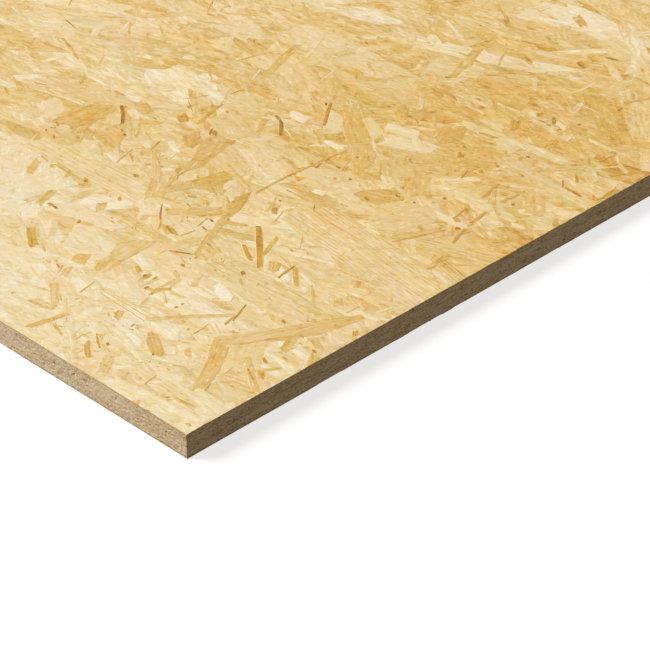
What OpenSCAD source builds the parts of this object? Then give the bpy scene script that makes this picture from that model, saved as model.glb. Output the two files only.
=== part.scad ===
// Square-edged sheet of oriented strand board, lying flat.
// Millimetres. The origin is the centre of the underside: +X runs along the
// length and the strands of both faces, +Y across the width, +Z up.

/* [Sheet] */
// Length of the sheet, along the strands of its faces
sheet_length = 2500; // [600:10:3600]
// Width of the sheet, across the strands of its faces
sheet_width = 1250; // [300:5:2100]
// Thickness of the sheet, face to face
sheet_thickness = 18; // [6:0.5:40]

/* [Sawn edges] */
// Width of the small flat that wear leaves along the arrises at both faces
face_arris = 0.5; // [0.1:0.1:2]
// Width of the small flat that wear leaves down the four upright corners
corner_arris = 0.8; // [0.1:0.1:10]

/* [Hidden] */

// Every side of the cutting sections stands this far outside the sheet where it must not cut
cut_clearance = 10;

// Rectangle about the origin with its four corners cut off at 45 degrees
module corner_cut_rectangle(across, along, cut) {
    half_across = across / 2;
    half_along = along / 2;
    polygon([
        [half_across, half_along - cut],
        [half_across - cut, half_along],
        [-half_across + cut, half_along],
        [-half_across, half_along - cut],
        [-half_across, -half_along + cut],
        [-half_across + cut, -half_along],
        [half_across - cut, -half_along],
        [half_across, -half_along + cut]
    ]);
}

// The sheet seen from above, with its upright corners broken
module plan_block() {
    linear_extrude(height = sheet_thickness)
        corner_cut_rectangle(sheet_length, sheet_width, corner_arris);
}

// A bar along +Y with the section of the sheet across one side, arrises broken
module section_bar(side, run) {
    translate([0, run / 2 + cut_clearance, sheet_thickness / 2])
        rotate([90, 0, 0])
            linear_extrude(height = run + 2 * cut_clearance)
                corner_cut_rectangle(side, sheet_thickness, face_arris);
}

// One sheet of pressed strands: its plan, with the arrises of the long and the short edges broken
module osb_panel() {
    color("#E6C88D")
        intersection() {
            plan_block();
            section_bar(sheet_length, sheet_width);
            rotate([0, 0, 90]) section_bar(sheet_width, sheet_length);
        }
}

osb_panel();
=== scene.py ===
import math
import bpy
import numpy as np
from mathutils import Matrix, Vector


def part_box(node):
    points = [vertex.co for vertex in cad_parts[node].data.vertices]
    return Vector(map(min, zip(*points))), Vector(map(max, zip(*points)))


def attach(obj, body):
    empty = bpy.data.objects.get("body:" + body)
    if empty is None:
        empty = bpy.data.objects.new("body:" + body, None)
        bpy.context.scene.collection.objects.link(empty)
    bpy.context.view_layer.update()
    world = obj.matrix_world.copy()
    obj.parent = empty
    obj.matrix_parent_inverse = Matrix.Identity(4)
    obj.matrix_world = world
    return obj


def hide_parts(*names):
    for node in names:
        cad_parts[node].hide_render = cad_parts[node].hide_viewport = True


# Square-edged sheet of oriented strand board, dressed for rendering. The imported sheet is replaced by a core
# with rough sawn edges and by the strands that show on its two faces. Plan sizes are in millimetres until
# a mesh is made.
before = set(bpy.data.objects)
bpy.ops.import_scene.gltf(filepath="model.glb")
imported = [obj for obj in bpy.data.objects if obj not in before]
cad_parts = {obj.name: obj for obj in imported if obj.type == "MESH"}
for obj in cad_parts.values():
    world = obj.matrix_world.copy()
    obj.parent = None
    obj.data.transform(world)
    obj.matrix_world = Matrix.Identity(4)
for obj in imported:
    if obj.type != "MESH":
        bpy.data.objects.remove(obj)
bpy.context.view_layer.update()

MM = 0.001
NODE = "osb_panel"
BODY = "root"
rng = np.random.default_rng(18)

# The sheet, from the frame
low, high = (np.array(corner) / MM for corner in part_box(NODE))
LENGTH, WIDTH, THICKNESS = high - low

# Levels of the strands, measured down from a face, and the shape of their rims and feet
CORE_DEPTH = 0.75
FOOT_DEPTH = 1.1
RIM_DROP = 0.06
RIM_MOST = 0.8
LEAST_HALF = 0.05
FOOT_SPREAD = 0.5
CUT_NEAR = 0.8
TILT = np.array([0.0002, 0.0007])
PLACED_DEPTH = 0.07

# Strips that a face's strands are joined in, and the layout of a strip's texture map
STRIPS = 6
MAP_ROWS = 3
MAP_MARGIN = 76.0

# Camera, fitted to the photographed corner: its place from the near top corner, and its angles
CAMERA_FROM_CORNER = (875.39, -764.87, 834.66)
CAMERA_AZIMUTH = 44.885
CAMERA_ELEVATION = 33.195
CAMERA_LENS = 136.1
CAMERA_SENSOR = 36.0
CAMERA_REACH = 100.0

# Light, set so that a level surface renders at about its own colour
KEY_AZIMUTH = -52.0
KEY_ELEVATION = 42.0
KEY_ANGLE = 24.0
KEY_STRENGTH = 3.7
SKY_STRENGTH = 0.18
SKY_COLOUR = (1.0, 0.94, 0.82, 1.0)
SKY_SHOWN = (1.0, 1.0, 1.0, 1.0)
FLOOR_SHOWN = (0.97, 0.97, 0.97, 1.0)
FLOOR_GLOW = (0.195, 0.169, 0.124, 1.0)
FLOOR_WHITE = 1.06
FLOOR_WHITE_SHARE = 0.7
FLOOR_REACH = 60.0


def srgb(red, green, blue):
    """Linear colour with alpha from 0 to 255 screen values."""
    parts = [value / 255 for value in (red, green, blue)]
    return [p / 12.92 if p <= 0.04045 else ((p + 0.055) / 1.055) ** 2.4 for p in parts] + [1.0]


# Tones of the strands, from bleached sapwood through golden heartwood to bark
TONE_LOW, TONE_HIGH = -0.2, 1.8
STRAND_TONES = [
    (-0.2, srgb(254, 240, 208)),
    (0.0, srgb(248, 228, 186)),
    (0.25, srgb(239, 214, 163)),
    (0.5, srgb(230, 200, 140)),
    (0.75, srgb(220, 183, 107)),
    (1.0, srgb(205, 158, 70)),
    (1.3, srgb(164, 115, 40)),
    (1.8, srgb(92, 60, 24)),
]
EDGE_TONES = [
    (0.0, srgb(103, 78, 42)),
    (0.3, srgb(187, 156, 108)),
    (0.5, srgb(222, 197, 159)),
    (0.75, srgb(242, 224, 198)),
    (1.0, srgb(252, 243, 227)),
]
# Spread of hue: how far red, and blue with and without it, stray from a tone's own, less in pale tones,
# and how golden tones lean to orange
TINT_RED = 0.052
TINT_GREY = 0.036
TINT_BLUE = 0.135
TINT_PALEST = 0.7
TINT_RISE = 0.6
LEAN_TONE = 0.45
LEAN_RED = 0.06
LEAN_BLUE = -0.14
SAWN_BROWN = srgb(198, 167, 123)
HIDDEN_WOOD = srgb(221, 184, 120)

# Slow drift in tone, partly wood tone and partly painted light: patches near the photographed corner, each
# with its place from the corner along the long and the short edge, its reach and its change of tone, the pale
# one near the corner partly a painted sheen, and weaker blotches all over
TONE_AND_SHEEN_PATCHES = [(180.0, 50.0, 175.0, -0.38), (30.0, 460.0, 200.0, 0.14), (130.0, 450.0, 120.0, 0.16),
                 (215.0, 220.0, 120.0, 0.18)]
DRIFT_BLOTCH = ((420.0, 260.0, 90.0), 1.0)
DRIFT_BLOTCH_TONE = 0.2

# Strands that stand out in the photographed corner, read off it. Each row gives the strand's two ends
# as millimetres from the corner along the long edge and along the short edge, then its width, its tone
# in hundredths and, in tenths, the strength of its growth lines, or of a patchwork of small pieces where
# that is below zero.
BROAD_STRANDS = [
    (-12,207, 140,229, 42,34,9), (32,141, 134,139, 31,34,8), (226,168, 336,167, 30,31,8),
    (26,66, 50,105, 22,36,1), (-4,300, 26,301, 19,84,-8), (8,284, 36,278, 14,74,-6),
    (3,332, 20,333, 25,46,-2), (-4,367, 90,375, 13,48,5), (100,256, 152,263, 14,30,2),
    (354,198, 378,208, 20,24,1), (40,446, 96,492, 26,80,-3), (70,484, 100,482, 22,82,-5),
    (200,230, 262,252, 26,42,4), (176,245, 215,262, 24,30,2), (236,268, 272,280, 26,46,3),
    (18,330, 40,356, 16,66,2), (52,402, 142,393, 11,36,2), (62,462, 112,449, 13,62,5),
    (226,102, 180,94, 34,10,4), (168,262, 128,276, 30,36,3), (178,446, 126,452, 34,72,-4),
]
GOLDEN_STRANDS = [
    (144,140, 157,165, 4,62,5), (23,100, 31,122, 6,62,4), (8,118, 16,122, 6,66,5),
    (108,66, 73,107, 3.6,52,5), (122,52, 128,61, 5,78,5), (82,6, 93,22, 9,46,5), (2,58, 33,81, 5,56,3),
    (10,70, 18,77, 5,84,5), (123,73, 126,84, 3,65,5), (128,101, 129,113, 4,42,5),
    (130,112, 140,116, 3,66,5), (58,55, 66,61, 4,58,5), (2,171, 8,179, 4,55,4), (20,171, 28,174, 5,62,5),
    (3,143, 7,148, 4,85,5), (35,161, 42,168, 6,50,5), (42,185, 46,191, 4,70,5), (93,161, 100,169, 8,65,5),
    (70,158, 86,173, 3.5,72,5), (24,231, 28,255, 3.6,82,5), (-2,270, 53,251, 14,54,14),
    (122,246, 150,243, 12,68,3), (107,355, 114,363, 6,96,3), (55,384, 34,411, 4,60,5),
    (108,412, 116,423, 8,88,5), (74,407, 78,421, 6,84,5), (2,383, 4,398, 5,92,5), (5,376, 8,380, 4,88,5),
    (76,378, 78,386, 5,94,5), (108,440, 113,444, 5,85,5), (108,394, 122,392, 4,90,5),
    (73,484, 75,491, 4,100,5), (133,17, 144,21, 3,70,5), (154,8, 148,35, 4,66,5),
    (174,83, 180,95, 8,70,5), (184,61, 190,71, 6,50,3), (145,91, 146,102, 3.4,62,5),
    (140,89, 139,102, 3.2,54,5), (136,89, 125,92, 4,74,5), (128,86, 130,94, 3,70,5),
    (131,91, 123,101, 3,76,5), (130,96, 130,111, 2.6,58,5), (125,94, 113,86, 2,44,5),
    (123,97, 111,98, 3.4,36,5), (165,136, 216,140, 8,48,4), (216,86, 218,92, 3.5,62,5),
    (216,73, 226,78, 2.2,50,5), (225,71, 246,86, 8,84,5), (228,90, 245,104, 5,34,5),
    (218,116, 229,113, 5,54,5), (218,167, 232,186, 12,58,3), (216,176, 236,212, 5,70,5),
    (161,179, 146,189, 4,80,5), (172,145, 186,150, 7,80,5), (180,222, 218,236, 3,62,5),
    (185,187, 190,191, 4,70,5), (190,302, 208,312, 3,72,5), (208,322, 236,338, 4,70,5),
    (140,288, 152,300, 8,70,5), (175,278, 205,285, 2.5,56,5), (250,236, 266,248, 14,78,5),
    (250,256, 258,262, 5,104,5), (228,180, 266,214, 6,60,4), (250,113, 263,115, 5,95,5),
    (266,108, 273,128, 6,68,5), (280,143, 284,153, 5,70,5), (283,151, 300,152, 4,66,5),
    (281,255, 292,262, 8,90,5), (303,131, 313,148, 7,60,5), (288,210, 318,234, 2.2,60,5),
    (308,246, 325,254, 6,74,5), (313,226, 331,241, 6,84,5),
]
# The strands there with shapes of their own: the tone, the growth lines and the corners of each
OUTLINED_STRANDS = [
    (62, 3, [64,80, 55,84, 50,80, 46,72, 38,58, 29,43, 25,38, 30,37, 31,32, 35,34, 40,47, 48,60, 56,71]),
    (57, 3, [64,80, 57,94, 48,107, 40,124, 28,147, 18,164, 12,163, 17,136, 26,119, 36,102, 46,87, 50,80]),
    (72, 3, [349,189, 354,202, 352,214, 348,225, 337,238, 329,234, 328,219, 326,207, 320,194, 325,191,
        336,194, 344,190]),
    (58, -5, [347,176, 343,185, 327,188, 314,188, 311,177, 319,168, 335,172]),
    (70, 2, [317,198, 318,204, 313,206, 303,218, 297,215, 293,206, 286,198, 290,190, 301,194, 307,193]),
    (28, 2, [309,177, 313,189, 305,193, 292,186, 277,177, 285,173, 298,172]),
    (14, 0, [295,128, 300,142, 295,151, 279,148, 267,144, 269,134, 273,127, 277,119]),
    (47, 3, [180,85, 183,96, 189,107, 190,117, 186,123, 176,129, 173,135, 172,125, 172,115, 172,107,
        169,94, 168,85, 171,82]),
    (62, 3, [197,78, 200,86, 194,91, 190,93, 185,80, 187,78]),
    (12, 1, [161,90, 156,92, 133,87, 128,79, 132,76, 154,77]),
    (46, 2, [171,124, 167,134, 163,148, 157,157, 151,151, 156,133]),
    (-2, 0, [170,106, 171,115, 167,116, 150,108, 159,106]),
    (48, 6, [184,49, 178,54, 160,38, 164,34]),
    (54, 3, [249,86, 244,89, 236,86, 232,79, 233,75, 241,79]),
    (70, 3, [99,60, 90,60, 72,50, 69,42, 77,40, 92,48]),
    (2, 0, [104,65, 97,71, 84,72, 76,63, 83,59, 94,61]),
    (-18, 0, [108,122, 107,128, 91,123, 86,117, 91,113, 102,117]),
    (74, 1, [216,175, 225,189, 235,207, 238,221, 244,232, 254,246, 257,260, 244,260, 236,263, 232,251,
        227,234, 226,220, 228,207, 228,196, 220,183]),
    (78, 1, [217,202, 213,215, 211,229, 200,229, 195,223, 198,212, 201,200, 207,196]),
    (58, 3, [229,169, 224,184, 221,195, 216,204, 207,196, 213,187, 217,173, 223,167]),
    (80, 1, [274,258, 279,273, 285,286, 281,295, 277,280, 272,266]),
    (76, 2, [176,218, 171,212, 165,201, 161,189, 158,179, 154,169, 150,159, 153,157, 160,168, 165,180,
        170,190, 176,199, 179,208, 179,215]),
    (62, 1, [187,205, 182,206, 170,195, 166,188, 170,188]),
    (71, 2, [223,352, 212,364, 198,352, 182,340, 168,330, 151,316, 146,307, 145,296, 160,302, 174,312,
        192,326, 209,339]),
    (76, 1, [196,377, 189,387, 178,378, 171,368, 175,364, 186,370]),
    (64, -2, [145,312, 138,327, 131,330, 118,324, 109,310, 117,305, 127,299]),
    (64, -2, [116,306, 104,322, 92,307, 89,298, 98,290]),
    (75, 1, [146,368, 148,379, 142,385, 135,392, 125,376, 128,365, 134,359]),
    (42, 1, [93,246, 102,261, 104,271, 96,282, 80,291, 66,290, 60,279, 67,265, 71,250, 80,246]),
    (64, 1, [72,242, 70,251, 62,262, 55,277, 49,275, 55,258, 62,245]),
]
PALE_STRANDS = [
    (4,14, 73,6, 9,10,1), (4,166, 23,165, 4,4,0), (147,15, 127,16, 9,8,2), (135,2, 117,3, 7,6,2),
    (77,3, 60,8, 9,6,2), (60,8, 29,12, 6,2,2), (37,45, 26,49, 4,10,2), (142,38, 126,43, 6,12,2),
    (92,21, 78,28, 6,10,2), (259,112, 203,126, 13,13,3), (219,88, 166,103, 9,14,4),
    (2,228, 20,233, 3,10,0), (40,289, 86,287, 7,18,1), (44,317, 83,317, 12,32,1),
    (18,292, 28,295, 5,40,0), (4,383, 49,385, 5,34,1), (6,403, 14,404, 6,28,0), (25,426, 33,434, 2,30,0),
    (38,437, 63,439, 4,36,1), (55,387, 68,388, 8,40,1), (85,391, 105,392, 12,40,1),
    (80,473, 95,474, 3,45,0), (82,438, 95,441, 6,24,0), (109,436, 119,441, 5,20,0),
    (125,8, 150,6, 14,15,1), (128,28, 140,32, 14,12,0), (150,106, 170,113, 11,5,1),
    (155,58, 160,59, 4,-10,0), (157,66, 161,68, 4,-15,0), (162,60, 179,66, 7,-8,0),
    (182,77, 226,69, 6,0,1), (196,56, 208,60, 7,-4,0), (60,166, 78,171, 4,-2,0),
    (79,158, 85,163, 5,-16,0), (88,160, 92,168, 4,-20,0), (138,196, 163,190, 12,10,1),
    (159,168, 171,174, 9,10,0), (191,213, 198,223, 8,16,1), (200,155, 225,165, 16,15,1),
    (180,240, 186,245, 5,6,0), (139,255, 148,250, 8,10,0), (138,345, 149,353, 8,14,1),
    (155,320, 168,330, 2,18,0), (176,351, 148,358, 12,18,1), (164,334, 128,349, 12,24,2),
    (168,335, 195,350, 10,34,1), (175,306, 191,306, 6,-8,0), (196,318, 215,342, 14,30,1),
    (220,318, 238,318, 10,6,0), (254,222, 267,229, 6,5,0), (274,184, 286,187, 5,5,0),
    (312,215, 326,230, 14,40,1), (309,237, 324,240, 8,10,0), (350,181, 362,187, 8,16,1),
]
SLIVERS = [
    (101,12, 116,24, 4.2,88), (105,24, 118,33, 1.3,90), (103,29, 106,31, 2.4,105), (56,17, 58,29, 1,78),
    (62,18, 63,20, 2,80), (18,22, 33,20, 2,78), (43,0, 46,4, 3,70), (5,7, 9,8, 3,75),
    (26,38, 50,80, 3,64), (49,83, 27,121, 2.6,80), (12,66, 25,73, 1.8,95), (14,62, 34,56, 1.2,65),
    (20,84, 26,87, 1.8,110), (75,41, 77,43, 2,125), (75,74, 77,89, 1,75), (81,75, 82,77, 2.2,90),
    (14,95, 19,96, 2.6,90), (3,106, 9,112, 1.6,75), (25,119, 27,121, 2.2,100), (44,123, 48,124, 2.6,100),
    (69,95, 72,106, 2,92), (69,102, 77,121, 1.2,120), (108,63, 152,65, 0.9,65), (108,67, 154,68, 0.9,70),
    (108,70, 152,72, 0.9,40), (85,157, 88,175, 1.5,100), (88,172, 105,177, 2,62),
    (25,158, 25,169, 1.2,70), (27,169, 42,175, 1.2,42), (48,152, 63,165, 2,64), (95,135, 102,139, 2,70),
    (103,144, 108,147, 3,110), (119,134, 122,136, 2,90), (102,157, 141,193, 4.6,100),
    (112,159, 131,170, 3.4,95), (112,170, 122,192, 3.4,78), (32,196, 69,191, 1.4,70),
    (5,222, 22,232, 1.6,58), (64,240, 49,277, 1.6,86), (35,267, 41,286, 2.6,102), (42,290, 46,312, 3,96),
    (44,282, 46,285, 4,125), (50,290, 55,292, 5,92), (54,302, 63,312, 4.5,82), (56,290, 58,304, 1.3,95),
    (10,294, 14,298, 1.2,110), (36,315, 48,322, 3,76), (47,322, 63,341, 3.6,70), (60,325, 65,346, 3,95),
    (48,328, 46,347, 3,86), (39,332, 41,334, 2.6,120), (77,305, 79,308, 2.6,115), (88,287, 89,289, 2,125),
    (96,284, 99,288, 1.8,88), (101,285, 105,287, 1.8,110), (107,295, 109,298, 3.2,100),
    (112,268, 118,270, 2.6,105), (88,334, 93,347, 1.2,100), (97,338, 99,340, 2.4,100),
    (14,373, 30,375, 2.6,110), (31,374, 37,381, 1.2,110), (28,385, 36,394, 2,106),
    (36,418, 34,435, 1.2,95), (25,423, 35,430, 4,90), (40,411, 44,417, 2,98), (40,440, 85,440, 1,90),
    (81,364, 87,367, 2.5,100), (115,367, 119,370, 3,100), (93,438, 100,445, 3,110),
    (123,18, 122,32, 1.5,50), (147,97, 148,101, 2.2,110), (140,99, 141,103, 2.2,110),
    (136,88, 136,92, 2,120), (128,86, 128,89, 2,100), (106,92, 105,94, 2,110), (106,87, 105,89, 2,110),
    (153,99, 160,103, 4,88), (139,123, 141,126, 3,105), (162,57, 165,71, 1.1,98), (163,42, 170,47, 1,70),
    (170,83, 172,115, 2,62), (190,62, 194,69, 1.5,75), (193,66, 198,68, 1.5,105),
    (207,117, 209,120, 3,62), (227,111, 230,114, 2.5,110), (145,138, 159,130, 1.3,130),
    (168,147, 166,159, 1.2,85), (169,164, 172,176, 1.2,100), (160,165, 167,166, 1.4,120),
    (165,175, 169,176, 2,125), (184,143, 193,153, 1.3,95), (192,152, 207,167, 1.9,112),
    (195,159, 176,190, 1.5,55), (230,150, 235,153, 3,95), (136,200, 143,218, 1,75),
    (144,211, 150,217, 4,100), (154,225, 155,227, 2,120), (140,238, 161,239, 1.4,85),
    (128,232, 134,239, 1.6,110), (127,293, 142,312, 1.5,78), (140,279, 142,281, 2.6,130),
    (148,272, 150,274, 2,100), (157,304, 160,306, 2,135), (155,285, 160,298, 1.5,52),
    (173,221, 171,307, 2.2,85), (169,275, 171,282, 2.4,100), (172,276, 175,278, 2.2,115),
    (171,277, 222,288, 1.4,66), (219,289, 236,306, 3,120), (235,305, 243,308, 2.2,115),
    (207,321, 228,349, 2.7,108), (228,344, 231,347, 2,150), (192,307, 192,316, 5,86),
    (246,179, 250,181, 3.6,105), (244,200, 247,202, 2,95), (255,255, 260,262, 2,130),
    (256,243, 258,249, 1.4,110), (265,192, 276,198, 1.8,85), (268,210, 273,224, 1.3,98),
    (271,182, 278,203, 1.4,80), (266,150, 270,154, 3.4,95), (276,273, 279,275, 2.8,100),
    (270,286, 273,288, 2.4,95), (294,271, 298,273, 2.2,100), (296,212, 299,214, 2.8,125),
    (302,215, 305,217, 2,110), (305,150, 315,152, 1.4,80), (311,222, 332,240, 3,130),
    (312,195, 317,203, 1.6,95), (316,186, 320,188, 3,95), (328,174, 333,178, 1.8,100),
    (340,177, 343,179, 2.2,130), (340,188, 347,192, 1.8,100),
]
# Clusters of small flecks there: the place, the reach and the mean tone of each
FLECKS = [
    (109,55, 6,66), (129,56, 4,70), (62,59, 4,70), (76,32, 5,65), (34,22, 6,65), (87,11, 5,65),
    (61,37, 5,65), (341,184, 6,90), (211,129, 7,80), (196,136, 6,85), (182,168, 6,80), (141,136, 6,85),
    (152,49, 8,65), (203,67, 6,60), (198,260, 8,80), (122,146, 6,80), (88,146, 6,75), (99,190, 7,70),
    (133,282, 8,85), (104,286, 8,85), (115,342, 9,80), (103,370, 8,85), (166,301, 7,80), (85,392, 9,80),
    (50,302, 8,80), (58,98, 6,70), (22,102, 7,70), (36,57, 5,70), (26,145, 7,70),
]

# Kinds of strand that fill a face: strands per square metre, range of lengths and of widths, spread of
# their directions about the length of the sheet, depths below the face, mean and spread of their tone,
# the share that is golden, raggedness of their ends, how pointed and tapered they are, and the points
# on each side and end of an outline
KINDS = {
    "broad": dict(
        per_m2=330, length=(70, 150), width=(14, 42), turn=22, depth=(0.12, 0.18),
        tone=(0.44, 0.13), golden=0.12, cream=0.15, ragged=3.0, pointed=0.1, taper=0.35,
        side=2, end=4, rim=4.0),
    "middle": dict(
        per_m2=520, length=(25, 90), width=(5, 15), turn=34, depth=(0.09, 0.15),
        tone=(0.46, 0.15), golden=0.20, cream=0.2, ragged=2.2, pointed=0.3, taper=0.35,
        side=2, end=3, rim=2.0),
    "flake": dict(
        per_m2=1500, length=(8, 28), width=(3, 10), turn=45, depth=(0.08, 0.14),
        tone=(0.46, 0.12), golden=0.22, cream=0.45, ragged=1.5, pointed=0.15, taper=0.4,
        side=1, end=3, rim=0.0, shown=0.35),
    "small": dict(
        per_m2=600, length=(9, 40), width=(1.2, 4), turn=48, depth=(0.08, 0.12),
        tone=(0.48, 0.2), golden=0.35, cream=0.25, ragged=1.2, pointed=0.4, taper=0.4,
        side=1, end=2, rim=0.0, shown=0.45),
    "needle": dict(
        per_m2=110, length=(8, 24), width=(0.5, 1.3), turn=55, depth=(0.08, 0.10),
        tone=(1.0, 0.15), golden=0.2, cream=0.0, ragged=0.4, pointed=0.4, taper=0.4,
        side=1, end=2, rim=0.0),
    "chip": dict(
        per_m2=900, length=(2.5, 8), width=(0.9, 2.8), turn=60, depth=(0.08, 0.12),
        tone=(0.85, 0.2), golden=0.3, cream=0.0, ragged=0.5, pointed=0.2, taper=0.5,
        side=1, end=2, rim=0.0, cluster=14, reach=14.0),
}
BED = dict(pitch=(84.0, 30.0), shake=6, length=(120, 150), width=(42, 58), turn=9, depth=(0.19, 0.21),
           tone=(0.46, 0.10), golden=0.10, cream=0.1, ragged=3.0, pointed=0.0, taper=0.1,
           side=1, end=2, rim=4.0)
# Kinds of the placed strands, with what is added to the widths read off the corner
PLACED_PALE = dict(depth=(0.04, 0.05), spread=0.6, ragged=1.5, pointed=0.08, taper=0.12,
                   side=3, end=4, rim=2.2)
PLACED_GOLDEN = dict(PLACED_PALE, depth=(0.02, 0.03))
PLACED_BROAD = dict(PLACED_PALE, depth=(0.05, 0.07), ragged=2.8, rim=3.2)
PLACED_OUTLINE = dict(depth=(0.03, 0.04), rim=2.4, ragged=(0.8, 0.5))
PLACED_SLIVER = dict(depth=(0.0, 0.02), spread=0.4, ragged=0.5, pointed=0.28, taper=0.25,
                     side=3, end=2, rim=0.7, bow=0.02)
PLACED_FLECK = dict(depth=(0.01, 0.02), length=(1, 3.6), width=(0.7, 1.6), turn=50, ragged=0.4,
                    pointed=0.3, taper=0.5, side=1, end=2, rim=0.0, shown=0.5)
FLECKS_EACH = 6
GOLDEN_TONE = (0.74, 0.09)
CREAM_TONE = (0.14, 0.10)
CHIPPY_SHARE = 0.75

# The patch of the top face that the photograph shows, from the corner, and the share of the strewn
# strands of the narrower kinds that are kept there among the placed ones, with their tones drawn to a mean
SHOWN_ALONG, SHOWN_ACROSS = 400.0, 520.0
SHOWN_KEPT = 0.6
SHOWN_TONE = 0.44
SHOWN_CALM = 0.85
SHOWN_PALEST = 0.05
SHOWN_DEEPEST = 0.70
SHOWN_DARK = 1.3

# Shape of an outline: slant of its ends, the most that an end strays as a share of the length, waviness
# of its sides and, where a kind gives none, its bow
END_SLANT = 0.4
END_MOST = 0.2
SIDE_WOBBLE = 0.07
PLAIN_BOW = 0.012
# Draws for each strand: its seed, its growth lines or its patchwork, and its gap to the sawn edge
SEED_RANGE = (0, 100)
GROWTH_LINES = (1.2, 0.3)
PATCHWORK = (0.3, 1.2)
EDGE_GAP = (1.5, 0.07)
FLECK_SPREAD = 0.1
UNDER_SHARE = 0.7


def from_corner(places):
    """Places in plan of points that are measured from the photographed corner."""
    return np.array([high[0], low[1]]) + np.array(places, float) * (-1, 1)


def outlines(length, width, kind):
    """Outlines of strands about their own middles: an array of (along, across) points for each."""
    count = len(length)
    side = np.linspace(-1, 1, kind["side"] + 2)[1:-1]
    end = np.linspace(-1, 1, kind["end"])
    along = np.concatenate([side, np.ones(len(end)), side[::-1], -np.ones(len(end))])
    across = np.concatenate([-np.ones(len(side)), end, np.ones(len(side)), end[::-1]])
    at_end = np.abs(along) == 1
    slant = rng.normal(0, END_SLANT, (count, 2))[:, (along > 0).astype(int)]
    jag = rng.normal(0, 1, (count, len(along))) * kind["ragged"]
    most = END_MOST * length[:, None]
    wobble = 1 + rng.normal(0, SIDE_WOBBLE, (count, len(along)))
    taper = 1 - rng.uniform(0, kind["taper"], count)[:, None] * (along + 1) / 2
    narrow = 1 - kind["pointed"] * np.abs(along) ** 3
    bow = rng.normal(0, kind.get("bow", PLAIN_BOW), count) * length
    v = across * width[:, None] / 2 * wobble * taper * narrow + bow[:, None] * (1 - along ** 2)
    u = along * length[:, None] / 2 + at_end * np.clip(slant * v + jag, -most, most)
    return np.stack([u, v], axis=2)


def tones(count, kind):
    """Tones of strands of a kind, some of them golden and some cream."""
    plain = rng.normal(*kind["tone"], count)
    golden = rng.normal(*GOLDEN_TONE, count)
    cream = rng.normal(*CREAM_TONE, count)
    draw = rng.random(count)
    return np.where(draw < kind["golden"], golden, np.where(draw > 1 - kind["cream"], cream, plain))


def new_strand(kind, *own):
    """A strand as a dict: its outline, middle, turn, depth, tone and growth lines, and what its kind has."""
    made = dict(zip(("shape", "middle", "turn", "depth", "tone", "lines"), own))
    made.update(rim=kind["rim"], shown=kind.get("shown", 1.0), seed=rng.uniform(*SEED_RANGE))
    return made


def strand_list(middle, turn, length, width, depth, tone, lines, kind):
    """Strands of a kind, with outlines drawn for them."""
    shapes = outlines(length, width, kind)
    return [new_strand(kind, *own) for own in zip(shapes, middle, turn, depth, tone, lines)]


def drawn_sizes(kind, count):
    """Turns, lengths and widths of strands of a kind."""
    turn = np.radians(rng.normal(0, kind["turn"], count))
    return turn, rng.uniform(*kind["length"], count), rng.uniform(*kind["width"], count)


def scattered(kind, share=1.0):
    """Strands of a kind, strewn over a face."""
    reach = kind["length"][1] / 4
    count = int(kind["per_m2"] * share * LENGTH * WIDTH / 1e6)
    middle = rng.uniform(low[:2] - reach, high[:2] + reach, (count, 2))
    if "cluster" in kind:
        hubs = middle[:count // kind["cluster"]]
        middle = hubs[rng.integers(0, len(hubs), count)] + rng.normal(0, kind["reach"], (count, 2))
    sizes = drawn_sizes(kind, count)
    depth = rng.uniform(*kind["depth"], count)
    chippy = rng.random(count) < CHIPPY_SHARE
    lines = np.where(chippy, -rng.uniform(*PATCHWORK, count), rng.gamma(*GROWTH_LINES, count))
    return strand_list(middle, *sizes, depth, tones(count, kind), lines, kind)


def bedded():
    """The lowest strands, in shaken rows, so that no bare core shows."""
    lattice = [np.arange(low[axis], high[axis] + pitch, pitch) for axis, pitch in enumerate(BED["pitch"])]
    middle = np.stack(np.meshgrid(*lattice), axis=2).reshape(-1, 2)
    middle += rng.normal(0, BED["shake"], middle.shape)
    count = len(middle)
    sizes = drawn_sizes(BED, count)
    depth = rng.uniform(*BED["depth"], count)
    lines = -rng.uniform(*PATCHWORK, count)
    return strand_list(middle, *sizes, depth, tones(count, BED), lines, BED)


def tone_and_sheen_drift(plan):
    """Slow change of tone near the photographed corner, partly wood tone and partly a painted sheen."""
    change = np.zeros(len(plan))
    for along, across, reach, tone in TONE_AND_SHEEN_PATCHES:
        gap = plan - from_corner((along, across))
        change += tone * np.exp(-(gap ** 2).sum(1) / reach ** 2)
    return change


def in_patch(strand):
    """Whether a strand lies in the photographed patch."""
    near = np.array([high[0] - SHOWN_ALONG, low[1]])
    far = np.array([high[0], low[1] + SHOWN_ACROSS])
    return ((strand["middle"] > near) & (strand["middle"] < far)).all()


def thinned(strands, kept=SHOWN_KEPT, deepest=SHOWN_DEEPEST):
    """The strands, with fewer and calmer ones in the photographed patch."""
    left = [strand for strand in strands if not in_patch(strand) or rng.random() < kept]
    for strand in left:
        if in_patch(strand):
            tone = SHOWN_TONE + (strand["tone"] - SHOWN_TONE) * SHOWN_CALM
            change = tone_and_sheen_drift(strand["middle"][None])[0]
            strand["tone"] = min(max(tone, SHOWN_PALEST - change), deepest - change)
    return left


def placed(rows, kind):
    """Strands at the places read from the photographed corner."""
    rows = np.array(rows, float)
    start, stop = from_corner(rows[:, :2]), from_corner(rows[:, 2:4])
    run = stop - start
    turn = np.arctan2(run[:, 1], run[:, 0])
    length = np.hypot(run[:, 0], run[:, 1])
    middle = (start + stop) / 2
    depth = rng.uniform(*kind["depth"], len(rows))
    tone = rows[:, 5] / 100 - tone_and_sheen_drift(middle)
    lines = rows[:, 6] / 10 if rows.shape[1] > 6 else np.zeros(len(rows))
    return strand_list(middle, turn, length, rows[:, 4] + kind["spread"], depth, tone, lines, kind)


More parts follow.
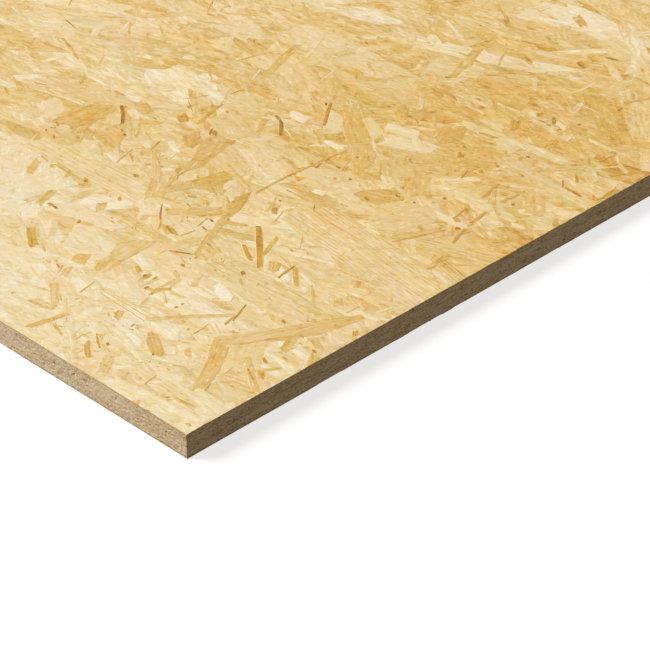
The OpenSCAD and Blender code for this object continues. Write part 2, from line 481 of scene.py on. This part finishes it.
def flecked(clusters, kind):
    """Small flecks strewn about the places read from the photographed corner."""
    made = []
    for along, across, reach, tone in clusters:
        middle = from_corner((along, across)) + rng.normal(0, reach / 2, (FLECKS_EACH, 2))
        sizes = drawn_sizes(kind, FLECKS_EACH)
        mixed = rng.normal(tone / 100, FLECK_SPREAD, FLECKS_EACH) - tone_and_sheen_drift(middle)
        depth = rng.uniform(*kind["depth"], FLECKS_EACH)
        made += strand_list(middle, *sizes, depth, mixed, np.zeros(FLECKS_EACH), kind)
    return made


def outlined(rows, kind):
    """Strands with the outlines read from the photographed corner, their grain along the greatest length."""
    made = []
    for tone, lines, corners in rows:
        plan = from_corner(np.reshape(corners, (-1, 2)))
        middle = plan.mean(0)
        way = np.linalg.svd(plan - middle)[2][0]
        turned = np.array([way, [-way[1], way[0]]])
        shape = (plan - middle) @ turned.T
        halfway = (shape + np.roll(shape, -1, axis=0)) / 2
        shape = np.stack([shape, halfway], axis=1).reshape(-1, 2)
        shape += rng.normal(0, 1, shape.shape) * kind["ragged"]
        after = np.roll(shape, -1, axis=0)
        if (shape[:, 0] * after[:, 1] - shape[:, 1] * after[:, 0]).sum() < 0:
            shape = shape[::-1]
        depth = rng.uniform(*kind["depth"])
        turn = math.atan2(way[1], way[0])
        mixed = tone / 100 - tone_and_sheen_drift(middle[None])[0]
        made.append(new_strand(kind, shape, middle, turn, depth, mixed, lines / 10))
    return made


def clipped(points, limits):
    """A polygon cut back to a rectangle, side by side. limits are its low and high corners."""
    for axis in (0, 1):
        for sign, limit in ((-1, -limits[0][axis]), (1, limits[1][axis])):
            if len(points) == 0:
                return points
            inside = sign * points[:, axis] <= limit
            if inside.all():
                continue
            kept = []
            for index in range(len(points)):
                here, last = points[index], points[index - 1]
                if inside[index] != inside[index - 1]:
                    share = (limit - sign * last[axis]) / (sign * (here[axis] - last[axis]))
                    kept.append(last + share * (here - last))
                if inside[index]:
                    kept.append(here)
            points = np.array(kept)
    return points


def new_object(name, data):
    """An object in the scene."""
    made = bpy.data.objects.new(name, data)
    bpy.context.collection.objects.link(made)
    return made


class MeshParts:
    """Vertices, faces and face-corner values of a piece, gathered strand by strand."""

    def __init__(self):
        self.points, self.faces, self.grain, self.look, self.map = [], [], [], [], []
        self.count = 0

    def add(self, points, faces, grain, look, place):
        """points are an array, faces index it, and the rest are lists of arrays, one for each face."""
        self.points.append(points)
        self.faces += [[self.count + i for i in face] for face in faces]
        self.grain += grain
        self.look += look
        self.map += place
        self.count += len(points)

    def piece(self, name, material):
        """The mesh object, in metres, riding on the sheet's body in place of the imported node."""
        mesh = bpy.data.meshes.new(name)
        mesh.from_pydata(np.concatenate(self.points) * MM, [], self.faces)
        for label, values in (("grain", self.grain), ("look", self.look)):
            layer = mesh.attributes.new(label, "FLOAT_VECTOR", "CORNER")
            layer.data.foreach_set("vector", np.concatenate(values).ravel())
        layer = mesh.uv_layers.new(name="OFBake")
        layer.data.foreach_set("uv", np.concatenate(self.map).ravel())
        mesh.materials.append(material)
        made = new_object(name, mesh)
        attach(made, BODY)
        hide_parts(NODE)


def add_strand(parts, strand, facing, strip_low):
    """One closed strand: a flat top, mostly with a lowered rim, sides that run into the core, and a foot."""
    cosine, sine = math.cos(strand["turn"]), math.sin(strand["turn"])
    turned = np.array([[cosine, sine], [-sine, cosine]])
    setback = rng.gamma(*EDGE_GAP)
    limits = (low[:2] + setback, high[:2] - setback)
    plan = clipped(strand["shape"] @ turned + strand["middle"], limits)
    if len(plan) < 3:
        return
    local = (plan - strand["middle"]) @ turned.T
    centre = (local.max(0) + local.min(0)) / 2
    half = np.maximum((local.max(0) - local.min(0)) / 2, LEAST_HALF)
    slope = rng.normal(0, 1, 2) * TILT * (strand["depth"] > PLACED_DEPTH)
    lean = (local - centre) @ slope
    top_depth = strand["depth"] - lean + lean.max()
    foot = centre + (local - centre) * (1 + FOOT_SPREAD / half)
    flats = [local, foot]
    depths = [top_depth, np.full(len(plan), FOOT_DEPTH)]
    if strand["rim"] > 0:
        inset = min(strand["rim"], RIM_MOST * half.min())
        flats.insert(0, centre + (local - centre) * (1 - inset / half))
        depths.insert(1, top_depth + RIM_DROP)
    bounds = [limits] * (len(flats) - 1) + [(low[:2], high[:2])]
    rings = [np.clip(flat @ turned + strand["middle"], *bound) for flat, bound in zip(flats, bounds)]
    face_level = high[2] if facing > 0 else low[2]
    points = np.concatenate([np.column_stack([ring, face_level - facing * np.minimum(depth, FOOT_DEPTH)])
                             for ring, depth in zip(rings, depths)])
    count = len(plan)
    ring = list(range(count))
    following = ring[1:] + ring[:1]
    edge_gap = np.minimum(plan - low[:2], high[:2] - plan)
    cut = [((edge_gap[i] < CUT_NEAR) & (edge_gap[j] < CUT_NEAR)).any() for i, j in zip(ring, following)]
    faces = [ring]
    levels = [[strand["shown"]] * count]
    for step in range(len(rings) - 1):
        is_side = step == len(rings) - 2
        for i, j in zip(ring, following):
            faces.append([count * (step + 1) + i, count * (step + 1) + j, count * step + j, count * step + i])
            levels.append([-1.0 if cut[i] else 0.0] * 4 if is_side else [0.0, 0.0, 1.0, 1.0])
    faces.append([count * (len(rings) - 1) + i for i in reversed(ring)])
    levels.append([0.0] * count)
    if facing < 0:
        faces = [face[::-1] for face in faces]
        levels = [level[::-1] for level in levels]
    flat = np.concatenate(flats)
    grain = [np.column_stack([flat[face], np.full(len(face), strand["seed"])]) for face in faces]
    look = [np.column_stack([np.full(len(face), strand["tone"]), level, np.full(len(face), strand["lines"])])
            for face, level in zip(faces, levels)]
    row = int(np.clip((strand["middle"][0] - low[0]) / LENGTH * MAP_ROWS, 0, MAP_ROWS - 1))
    row_height = WIDTH / STRIPS + 2 * MAP_MARGIN
    corner = np.array([low[0] + row * LENGTH / MAP_ROWS - MAP_MARGIN,
                       strip_low - MAP_MARGIN - row * row_height])
    span = max(MAP_ROWS * row_height, LENGTH / MAP_ROWS + 2 * MAP_MARGIN)
    place = (points[:, :2] - corner) / span
    parts.add(points, faces[::-1], grain[::-1], look[::-1], [place[face] for face in faces[::-1]])


def make_face(label, strands, facing, material):
    """A face of the sheet: its strands, lowest first, joined in strips along the sheet."""
    strands.sort(key=lambda strand: -strand["depth"])
    strips = [MeshParts() for _ in range(STRIPS)]
    for strand in strands:
        share = (strand["middle"][1] - low[1]) / WIDTH
        index = int(np.clip(share * STRIPS, 0, STRIPS - 1))
        add_strand(strips[index], strand, facing, low[1] + index * WIDTH / STRIPS)
    for index, parts in enumerate(strips):
        parts.piece(f"{label}_strands_{index + 1}", material)


# Shader nodes, by what they do


class Value:
    """An output of a shader node, which sums can be written with."""

    def __init__(self, socket):
        self.socket = socket
        self.tree = socket.id_data

    def calc(self, operation, *others, clamp=False):
        """The result of a sum on this value and others."""
        inputs = dict(enumerate((self, *others)))
        return add_node(self.tree, "Math", inputs, operation=operation, use_clamp=clamp)

    def __add__(self, other):
        return self.calc("ADD", other)

    def __sub__(self, other):
        return self.calc("SUBTRACT", other)

    def __mul__(self, other):
        return self.calc("MULTIPLY", other)


def add_node(tree, kind, inputs=(), output=0, **settings):
    """An output of a new shader node, with its settings made and its inputs set or linked."""
    made = tree.nodes.new("ShaderNode" + kind)
    for key, entry in settings.items():
        setattr(made, key, entry)
    for key, entry in dict(inputs).items():
        if isinstance(entry, Value):
            tree.links.new(entry.socket, made.inputs[key])
        else:
            made.inputs[key].default_value = entry
    return Value(made.outputs[output])


def vector_calc(operation, first, second):
    """The result of a sum on two vectors."""
    return add_node(first.tree, "VectorMath", {0: first, 1: second}, operation=operation)


def scaled(place, stretch):
    """A place in millimetres, counted in the stretch given."""
    return vector_calc("MULTIPLY", place, [1 / size for size in stretch])


def part(vector, axis):
    """One part of a vector."""
    return add_node(vector.tree, "SeparateXYZ", {0: vector}, axis)


def carried(tree, name):
    """A vector that the mesh carries."""
    return add_node(tree, "Attribute", output="Vector", attribute_name=name)


def between(value, start, stop):
    """0 up to start, 1 from stop on, and a straight slope from one to the other."""
    return add_node(value.tree, "MapRange", {"Value": value, "From Min": start, "From Max": stop})


def cut_both(value, name):
    """Patches cut out of a noise above its middle, and as far below it."""
    start, stop = CUTS[name]
    return between(value, start, stop), between(value, -start, -stop)


def draw(seed, factor, least, most):
    """A number between two, drawn from a strand's seed."""
    return (seed * factor).calc("FRACT") * (most - least) + least


def weighed(table, *values):
    """Values times their weights in a table, in its order, added up with the table's mean if it has one."""
    shares = [value * weight for value, weight in zip(values, table.values())]
    total = sum(shares[1:], shares[0])
    return total + table["mean"] if "mean" in table else total


def mix(share, first, second):
    """A colour between two."""
    return add_node(share.tree, "Mix", {0: share, 6: first, 7: second}, 2, data_type="RGBA")


def noise(place, stretch, detail=2.0, roughness=0.5):
    """Noise about zero at a place in millimetres, with blotches of about the stretch given."""
    inputs = {"Vector": scaled(place, stretch), "Scale": 1.0, "Detail": detail, "Roughness": roughness}
    return add_node(place.tree, "TexNoise", inputs) - 0.5


def noises(place, table):
    """The noises of a table, in its order."""
    return [noise(place, *row) for row in table.values()]


def mosaic(place, stretch, randomness=1.0):
    """A random level about zero for each of the small pieces, of about the stretch given, in a patchwork."""
    inputs = {"Vector": scaled(place, stretch), "Scale": 1.0, "Randomness": randomness}
    return part(add_node(place.tree, "TexVoronoi", inputs, "Color"), "X") - 0.5


def gap_lines(place, stretch):
    """Thin lines round the small pieces of a patchwork, which the strand material darkens as painted shadow
    in the gaps.
    """
    inputs = {"Vector": scaled(place, stretch), "Scale": 1.0}
    gap = add_node(place.tree, "TexVoronoi", inputs, "Distance", feature="DISTANCE_TO_EDGE")
    return between(gap, *CUTS["gap"])


def turned_place(sheet, angle):
    """The place on the sheet, measured along and across a line at an angle to its length."""
    inputs = {"Vector": sheet, "Angle": math.radians(angle)}
    return add_node(sheet.tree, "VectorRotate", inputs, rotation_type="Z_AXIS")


def ramp(value, stops, start, stop):
    """Colours along a range of values."""
    made = add_node(value.tree, "ValToRGB", {"Fac": between(value, start, stop)})
    bands = made.socket.node.color_ramp.elements
    for index, (level, colour) in enumerate(stops):
        place = (level - start) / (stop - start)
        band = bands[index] if index < 2 else bands.new(place)
        band.position = place
        band.color = colour
    return made


def new_material(name, specular):
    """An empty node material, its tree and its shader."""
    made = bpy.data.materials.new(name)
    made.use_nodes = True
    shader = made.node_tree.nodes["Principled BSDF"]
    shader.inputs["Specular IOR Level"].default_value = specular
    return made, made.node_tree, shader


def dress(shader, colour, rough, height, strength, depth):
    """The shader's colour, roughness and bump, which is as deep as given in millimetres."""
    bump = add_node(height.tree, "Bump", {"Strength": strength, "Distance": depth * MM, "Height": height})
    for name, value in (("Base Color", colour), ("Roughness", rough), ("Normal", bump)):
        height.tree.links.new(value.socket, shader.inputs[name])


# Patterns of the materials: each with its stretch along and across in millimetres and how fast it changes
# from strand to strand, its detail and its roughness
WOOD_SPECULAR = 0.3
STRAND_NOISE = dict(
    fibre=((10.0, 0.7, 0.13), 4.0, 0.6),
    streak=((7.0, 1.8, 0.19), 3.0, 0.6),
    mottle=((34.0, 9.0, 0.31), 3.0),
    sway=((60.0, 14.0, 0.23), 2.0),
    vein=((80.0, 1.3, 0.17), 2.0),
    patch=((11.0, 4.5, 0.29), 2.0),
    pale=((9.0, 2.8, 0.27), 3.0, 0.65),
)
SHEET_NOISE = dict(
    cloud=((46.0, 15.0, 9.0), 3.0),
    torn=((14.0, 4.0, 9.0), 3.0, 0.6),
    choice=((13.0, 9.0, 9.0), 2.0),
    speck=((1.5, 1.0, 9.0), 1.0),
)
TINT_NOISE = dict(
    small=((7.0, 3.0, 9.0), 3.0, 0.6),
    along=((60.0, 24.0, 9.0), 2.0),
)
EDGE_NOISE = dict(
    fibre=((3.5, 0.5, 1.0), 3.0, 0.65),
    grit=((1.7, 1.0, 1.0), 3.0, 0.68),
    fleck=((2.7, 1.0, 0.37), 1.0),
    clot=((6.0, 2.6, 0.61), 2.0),
)
GOLD_FLECK = ((5.0, 2.0, 9.0), 2.0, 0.6)
EDGE_SWAY = ((30.0, 6.0, 1.0), 2.0)
EDGE_CLOUD = ((34.0, 7.0, 1.0), 2.0)
EDGE_LAYER = ((11.0, 0.8, 1.0), 0.9)
STRAND_PIECES = ((17.0, 6.0, 0.37), (7.0, 2.6, 0.41))
SHEET_PIECES = ((16.0, 6.0, 9.0), (6.0, 2.4, 9.0))
SHEET_GAPS = (15.0, 5.0, 9.0)
SHEET_TURNS = (27.0, -33.0)
# Levels of a noise at which the patches cut out of it start and are full. Those of the thin gaps are
# nearness to a border of their patchwork.
CUTS = dict(vein=(0.06, 0.16), choice=(-0.04, 0.04), pale=(0.07, 0.13), gold=(0.13, 0.22),
            speck=(0.22, 0.27), gap=(0.07, 0.02), fleck=(0.17, 0.26))
# Weights of the patterns, with a mean where there is one: in a strand's own tone, in the tone that all
# share, in how far a strand covers that one, over both, in the spread of hue, in roughness and in relief
# In the own tone, border darkens rims: partly the wood's darker rim, partly painted shade
OWN_TONE = dict(streak=0.36, patch=0.28, mottle=0.36, ring=0.34, border=0.08, vein=0.15, pieces=0.34)
SHARED_TONE = dict(cloud=0.52, torn=0.35, bits=0.43, mean=0.44)
COVER = dict(rim=2.0, torn=1.8, fibre=1.3)
# Over both, pale is partly painted highlight on raised edges and gap is painted shadow in the gaps between
# small pieces
OVER_TONE = dict(fibre=0.26, pale=-0.26, gold=0.18, speck=0.4, gap=0.22)
TINT = dict(small=7.5, along=3.6)
STRAND_GLOSS = dict(fibre=0.25, mottle=0.2, mean=0.6)
STRAND_RELIEF = dict(ring=0.3, fibre=1.0, streak=0.6)
# In the edge's tone, pit darkens the colour by each pit's depth: painted shade in the pits
EDGE_TONE = dict(layer=0.16, fibre=0.42, grit=1.15, pale=0.28, dark=-0.5, pit=-0.5, clot=0.32, cloud=0.24)
EDGE_MEAN = 0.485
EDGE_GLOSS = dict(grit=0.2, mean=0.8)
EDGE_RELIEF = dict(layer=0.6, fibre=1.0, grit=0.8)
EDGE_LIFT = 0.8
# Strength of each bump, and its depth in millimetres
STRAND_BUMP = (0.5, 0.12)
EDGE_BUMP = (0.14, 0.25)
# Growth lines: their sway, sharpness and fading in streaks, and how soon veins come with them
RING_SWAY = 3.0
RING_SHARPNESS = 3.0
RING_STREAK = 2.5
RING_FAINT = 0.6
VEIN_RISE = 1.6
# Draws from a strand's seed, each a factor, the least and the most: its growth lines in a millimetre, how
# well it covers what all share and, after a shift of the noise, its two spreads of hue
RINGS_PER_MM = (7.31, 0.16, 0.34)
COVER_HOLD = (3.77, -0.3, 0.5)
TINT_DRAWS = (((310.0, 238.7, 0.0), 5.13, -0.25, 0.25), ((940.0, 723.8, 0.0), 8.71, -0.25, 0.25))


def strand_material():
    """Pressed wood strands: fibres and growth lines along each, torn pale patches, partly cream wood and
    partly painted highlights, specks, thin gaps darkened as painted shadow, rims darkened partly by the wood
    itself and partly as painted shade, and melted rims.
    """
    made, tree, shader = new_material("strand_wood", WOOD_SPECULAR)
    grain = carried(tree, "grain")
    sheet = add_node(tree, "TexCoord", output="Object")
    sheet = add_node(tree, "VectorMath", {0: sheet, "Scale": 1 / MM}, operation="SCALE")
    across, seed = (part(grain, axis) for axis in "YZ")
    tone, rim, lines = (part(carried(tree, "look"), axis) for axis in "XYZ")
    fibre, streak, mottle, sway, vein, patch, pale = noises(grain, STRAND_NOISE)
    cloud, torn, choice, speck = noises(sheet, SHEET_NOISE)
    # What the strand itself shows: growth lines, or a mosaic of small pieces where lines is below zero
    phase = across * draw(seed, *RINGS_PER_MM) + sway * RING_SWAY
    ring = ((phase * (2 * math.pi)).calc("SINE") * 0.5 + 0.5).calc("POWER", RING_SHARPNESS)
    faint = (streak * RING_STREAK).calc("ADD", RING_FAINT, clamp=True)
    ring = ring * faint * lines.calc("MAXIMUM", 0.0)
    above, below = cut_both(vein, "vein")
    vein = (above - below) * lines.calc("MULTIPLY", VEIN_RISE, clamp=True)
    large, small = (mosaic(grain, stretch) for stretch in STRAND_PIECES)
    pieces = (large + small) * lines.calc("MULTIPLY", -1.0, clamp=True)
    # border darkens each strand toward its rim: partly the wood's own darker rim, partly painted shade along
    # its edge
    border = (rim * -1.0).calc("ADD", 1.0, clamp=True)
    own = tone + weighed(OWN_TONE, streak, patch, mottle, ring, border, vein, pieces)
    # What all the strands share, so that one melts into the next
    leaning = [turned_place(sheet, angle) for angle in SHEET_TURNS]
    choice = between(choice, *CUTS["choice"])
    large, small = ([mosaic(lean, stretch) for lean in leaning] for stretch in SHEET_PIECES)
    first, second = (piece + bit for piece, bit in zip(large, small))
    bits = (second - first) * choice + first
    shared = weighed(SHARED_TONE, cloud, torn, bits)
    cover = draw(seed, *COVER_HOLD) + weighed(COVER, rim, torn, fibre)
    cover = add_node(tree, "MapRange", {"Value": cover}, interpolation_type="SMOOTHSTEP")
    level = (own - shared) * cover + shared
    # Torn pale patches, partly cream wood and partly painted highlights on raised edges, golden flecks, small
    # dark specks and thin gaps darkened as painted shadow, over both
    pale = between(pale, *CUTS["pale"])
    gold = between(noise(leaning[0], *GOLD_FLECK), *CUTS["gold"])
    speck = between(speck, *CUTS["speck"])
    # gap: thin lines between small pieces, darkened as painted shadow in the gaps
    gap = gap_lines(leaning[1], SHEET_GAPS) * choice
    # slow drift of tone: partly wood tone, partly a painted sheen near the corner
    slow_and_sheen = slow_tone_and_sheen(sheet)
    level = level + weighed(OVER_TONE, fibre, pale, gold, speck, gap) + slow_and_sheen
    colour = tinted(level, sheet, seed, cover, tone + slow_and_sheen)
    sawn = rim.calc("MULTIPLY", -1.0, clamp=True)
    rough = weighed(STRAND_GLOSS, fibre, mottle)
    height = weighed(STRAND_RELIEF, ring, fibre, streak)
    dress(shader, mix(sawn, colour, SAWN_BROWN), rough, height, *STRAND_BUMP)
    return made


def tinted(level, sheet, seed, cover, tone):
    """The colour of a level, a little redder or greener and yellower or greyer from strand to strand and
    along each, and more orange in golden strands than in pale ones."""
    colour = ramp(level, STRAND_TONES, TONE_LOW, TONE_HIGH)
    spread = level * TINT_RISE + TINT_PALEST
    shares = []
    for shift, *own in TINT_DRAWS:
        moved = vector_calc("ADD", sheet, shift)
        share = draw(seed, *own) * cover + weighed(TINT, *noises(moved, TINT_NOISE))
        shares.append(share * spread)
    lean = (tone - LEAN_TONE) * cover
    red = shares[0] * TINT_RED + lean * LEAN_RED + 1.0
    blue = shares[0] * -TINT_GREY + shares[1] * TINT_BLUE + lean * LEAN_BLUE + 1.0
    tint = add_node(level.tree, "CombineXYZ", {"X": red, "Y": 1.0, "Z": blue})
    return vector_calc("MULTIPLY", colour, tint)


def slow_tone_and_sheen(sheet):
    """The slow drift of tone, the same as for the placed strands and partly a painted sheen, and the weaker
    blotches.
    """
    change = noise(sheet, *DRIFT_BLOTCH) * DRIFT_BLOTCH_TONE
    for along, across, reach, tone in TONE_AND_SHEEN_PATCHES:
        middle = (*from_corner((along, across)), high[2])
        gap = add_node(sheet.tree, "VectorMath", {0: sheet, 1: middle}, "Value", operation="DISTANCE")
        share = gap * (1 / reach)
        change = change + (share * share * -1.0).calc("EXPONENT") * tone
    return change


def edge_material():
    """Sawn edge: the cut ends of thin layers of strands, with pits darkened by their depth as painted shade,
    and pale flecks.
    """
    made, tree, shader = new_material("sawn_edge", WOOD_SPECULAR)
    grain = carried(tree, "grain")
    along, side = (part(grain, axis) for axis in "XZ")
    # pit carries the depth of each pit, which darkens the colour below as painted shade
    pit, layered, covered = (part(carried(tree, "look"), axis) for axis in "XYZ")
    lift = add_node(tree, "CombineXYZ", {"Y": noise(grain, *EDGE_SWAY) * EDGE_LIFT})
    swayed = vector_calc("ADD", grain, lift)
    layer = mosaic(swayed, *EDGE_LAYER)
    fibre, grit, fleck, clot = noises(swayed, EDGE_NOISE)
    cloud = noise(grain, *EDGE_CLOUD)
    pale, dark = cut_both(fleck, "fleck")
    wave = ((along * (2 * math.pi / EDGE_WAVE)).calc("SINE") - EDGE_WAVE_MEAN) * side
    change = weighed(EDGE_TONE, layer, fibre, grit, pale, dark, pit, clot, cloud)
    change = change + wave * (EDGE_WAVE_TONE / EDGE_SEED)
    colour = ramp(change * layered + EDGE_MEAN, EDGE_TONES, 0.0, 1.0)
    rough = weighed(EDGE_GLOSS, grit)
    height = weighed(EDGE_RELIEF, layer, fibre, grit)
    dress(shader, mix(covered, colour, HIDDEN_WOOD), rough, height, *EDGE_BUMP)
    return made


# Core with sawn edges: the grid of its faces, their roughness and contrast on the short and the long edges,
# the slow change of tone along the long ones, the pits and the texture map
EDGE_PITCH = 1.6
EDGE_ROWS = 14
EDGE_ROUGHNESS = 0.08
EDGE_SETBACK = 0.05
EDGE_CONTRAST = (1.16, 0.96)
EDGE_WAVE = 560.0
EDGE_WAVE_MEAN = 0.65
EDGE_WAVE_TONE = 0.085
EDGE_SEED = 50.0
PIT_SPACING = 4.5
PIT_LENGTH = (1.6, 5.0)
PIT_HEIGHT = (0.6, 1.2)
PIT_DEPTH = (0.15, 0.6)
EDGE_MAP_ROW = 390.0
EDGE_MAP_SPAN = 400.0
EDGE_MAP_GAP = 0.6
CAP_MAP_SIZE = (0.97, 0.02)
CAP_MAP_PLACE = (0.01, 0.965)
CORNER_CUT = 0.5


def perimeter():
    """Points round the sheet with their outward directions, and the distance run to each."""
    corners = [(low[0], low[1]), (high[0], low[1]), (high[0], high[1]), (low[0], high[1])]
    points, outward = [], []
    for index, corner in enumerate(corners):
        corner = np.array(corner)
        step = np.array(corners[(index + 1) % 4]) - corner
        run = np.hypot(*step)
        step = step / run
        count = int(run / EDGE_PITCH)
        along = np.linspace(CORNER_CUT, run - CORNER_CUT, count)
        points += list(corner + along[:, None] * step)
        outward += [(step[1], -step[0])] * count
    points, outward = np.array(points), np.array(outward)
    gaps = np.hypot(*(points - np.roll(points, 1, axis=0)).T)
    gaps[0] = 0
    return points, outward, np.cumsum(gaps)


def pit_field(run, level):
    """Depth of the pits between the cut strands, on the grid of the edge."""
    depth = np.zeros((len(run), len(level)))
    for _ in range(int(run[-1] / PIT_SPACING)):
        length, height = rng.uniform(*PIT_LENGTH), rng.uniform(*PIT_HEIGHT)
        middle, up = rng.uniform(0, run[-1]), rng.uniform(level[1], level[-2])
        near = np.abs(run - middle) < length
        across = ((run[near, None] - middle) / length * 2) ** 2 + ((level - up) / height) ** 2
        pit = rng.uniform(*PIT_DEPTH) * np.clip(1 - across, 0, 1)
        depth[near] = np.maximum(depth[near], pit)
    return depth


def make_core(material):
    """The body of the sheet between its faces, with rough edges."""
    parts = MeshParts()
    plan, outward, run = perimeter()
    level = np.linspace(low[2] + CORE_DEPTH, high[2] - CORE_DEPTH, EDGE_ROWS + 1)
    pit = pit_field(run, level)
    rough = np.abs(rng.normal(0, EDGE_ROUGHNESS, pit.shape)) + EDGE_SETBACK
    points = np.zeros(pit.shape + (3,))
    points[:, :, :2] = plan[:, None] - outward[:, None] * (pit + rough)[:, :, None]
    points[:, :, 2] = level
    columns, rows = pit.shape
    index = np.arange(columns * rows).reshape(columns, rows)
    run_end = np.append(run, run[-1] + CORNER_CUT * 2)
    faces, grain, look, place = [], [], [], []
    for column in range(columns):
        after = (column + 1) % columns
        row = int(run[column] / EDGE_MAP_ROW)
        side = int(np.argmax(np.abs(outward[column])))
        along = run_end[[column, column + 1, column + 1, column]]
        for k in range(rows - 1):
            corners = [(column, k), (after, k), (after, k + 1), (column, k + 1)]
            faces.append([index[c] for c in corners])
            up = level[[k, k, k + 1, k + 1]]
            grain.append(np.column_stack([along, up, np.full(4, side * EDGE_SEED)]))
            # the depth of the pits also goes into the look, where it paints shade into them
            depth = [pit[c] for c in corners]
            look.append(np.column_stack([depth, np.full(4, EDGE_CONTRAST[side]), np.zeros(4)]))
            place.append(np.column_stack([along - row * EDGE_MAP_ROW + EDGE_MAP_GAP,
                                          up + row * (THICKNESS + EDGE_MAP_GAP)]) / EDGE_MAP_SPAN)
    flat = points.reshape(-1, 3)
    for cap in (index[::-1, 0], index[:, -1]):
        faces.append(list(cap))
        spot = flat[cap]
        grain.append(spot)
        look.append(np.tile([0.0, 0.0, 1.0], (len(cap), 1)))
        share = (spot[:, :2] - low[:2]) / (LENGTH, WIDTH)
        place.append(share * CAP_MAP_SIZE + CAP_MAP_PLACE)
    parts.add(flat, faces, grain, look, place)
    parts.piece("sheet_core", material)


# Scene


def aimed(made, elevation, azimuth):
    """Turns a camera or a lamp to look down by one angle, and round by the other."""
    made.rotation_euler = (math.radians(90 - elevation), 0, math.radians(azimuth))


def make_camera():
    """The camera of the photograph."""
    data = bpy.data.cameras.new("camera")
    data.lens = CAMERA_LENS
    data.sensor_width = CAMERA_SENSOR
    data.clip_end = CAMERA_REACH
    made = new_object("camera", data)
    corner = np.array([high[0], low[1], high[2]])
    made.location = (corner + CAMERA_FROM_CORNER) * MM
    aimed(made, CAMERA_ELEVATION, CAMERA_AZIMUTH)
    bpy.context.scene.camera = made


def make_light():
    """A broad key light from the left, and an even sky."""
    data = bpy.data.lights.new("key", "SUN")
    data.energy = KEY_STRENGTH
    data.angle = math.radians(KEY_ANGLE)
    aimed(new_object("key", data), KEY_ELEVATION, KEY_AZIMUTH)
    world = bpy.data.worlds.new("studio")
    world.use_nodes = True
    tree = world.node_tree
    shown = shown_to_eye(tree)
    strength = shown * (1 - SKY_STRENGTH) + SKY_STRENGTH
    inputs = tree.nodes["Background"].inputs
    tree.links.new(mix(shown, SKY_COLOUR, SKY_SHOWN).socket, inputs["Color"])
    tree.links.new(strength.socket, inputs["Strength"])
    bpy.context.scene.world = world


def shown_to_eye(tree):
    """1 for what the camera sees, straight or by reflection, and 0 for light that bounces."""
    seen = add_node(tree, "LightPath", output="Is Camera Ray")
    for ray in ("Is Glossy Ray", "Is Transmission Ray"):
        seen = seen.calc("MAXIMUM", add_node(tree, "LightPath", output=ray))
    return seen


def make_floor():
    """A wide white floor, which keeps the sheet's shadow and lights the edges with a dim, even glow."""
    made, tree, shader = new_material("floor_white", 0.0)
    shader.inputs["Base Color"].default_value = FLOOR_SHOWN
    shader.inputs["Roughness"].default_value = 1.0
    white = add_node(tree, "Emission", {"Strength": FLOOR_WHITE})
    seen = add_node(tree, "MixShader", {0: FLOOR_WHITE_SHARE, 1: Value(shader.outputs[0]), 2: white})
    glow = add_node(tree, "Emission", {"Color": FLOOR_GLOW})
    mixed = add_node(tree, "MixShader", {0: shown_to_eye(tree), 1: glow, 2: seen})
    tree.links.new(mixed.socket, tree.nodes["Material Output"].inputs["Surface"])
    mesh = bpy.data.meshes.new("floor")
    corners = [(x * FLOOR_REACH, y * FLOOR_REACH, 0) for x, y in ((-1, -1), (1, -1), (1, 1), (-1, 1))]
    mesh.from_pydata(corners, [], [(0, 1, 2, 3)])
    mesh.materials.append(made)
    floor = new_object("floor", mesh)


def top_strands():
    """The photographed face: strewn strands, and on them the placed ones at lesser and lesser depths."""
    made = thinned(bedded(), kept=1.0) + thinned(scattered(KINDS["broad"]), kept=1.0)
    made += thinned(scattered(KINDS["middle"]))
    for name in ("needle", "chip"):
        made += thinned(scattered(KINDS[name]), deepest=SHOWN_DARK)
    for name in ("small", "flake"):
        made += thinned(scattered(KINDS[name]), kept=1.0)
    made += placed(BROAD_STRANDS, PLACED_BROAD)
    made += placed(PALE_STRANDS, PLACED_PALE)
    made += outlined(OUTLINED_STRANDS, PLACED_OUTLINE)
    made += placed(GOLDEN_STRANDS, PLACED_GOLDEN)
    made += flecked(FLECKS, PLACED_FLECK)
    made += placed(SLIVERS, PLACED_SLIVER)
    return made


def under_strands():
    """The hidden face: strewn strands alone, and fewer of them."""
    made = bedded()
    for name in ("broad", "middle", "small", "flake"):
        made += scattered(KINDS[name], UNDER_SHARE)
    return made


make_camera()
make_light()
make_floor()
wood = strand_material()
make_face("top", top_strands(), 1, wood)
make_face("under", under_strands(), -1, wood)
make_core(edge_material())

bpy.context.scene.view_settings.view_transform = "Standard"
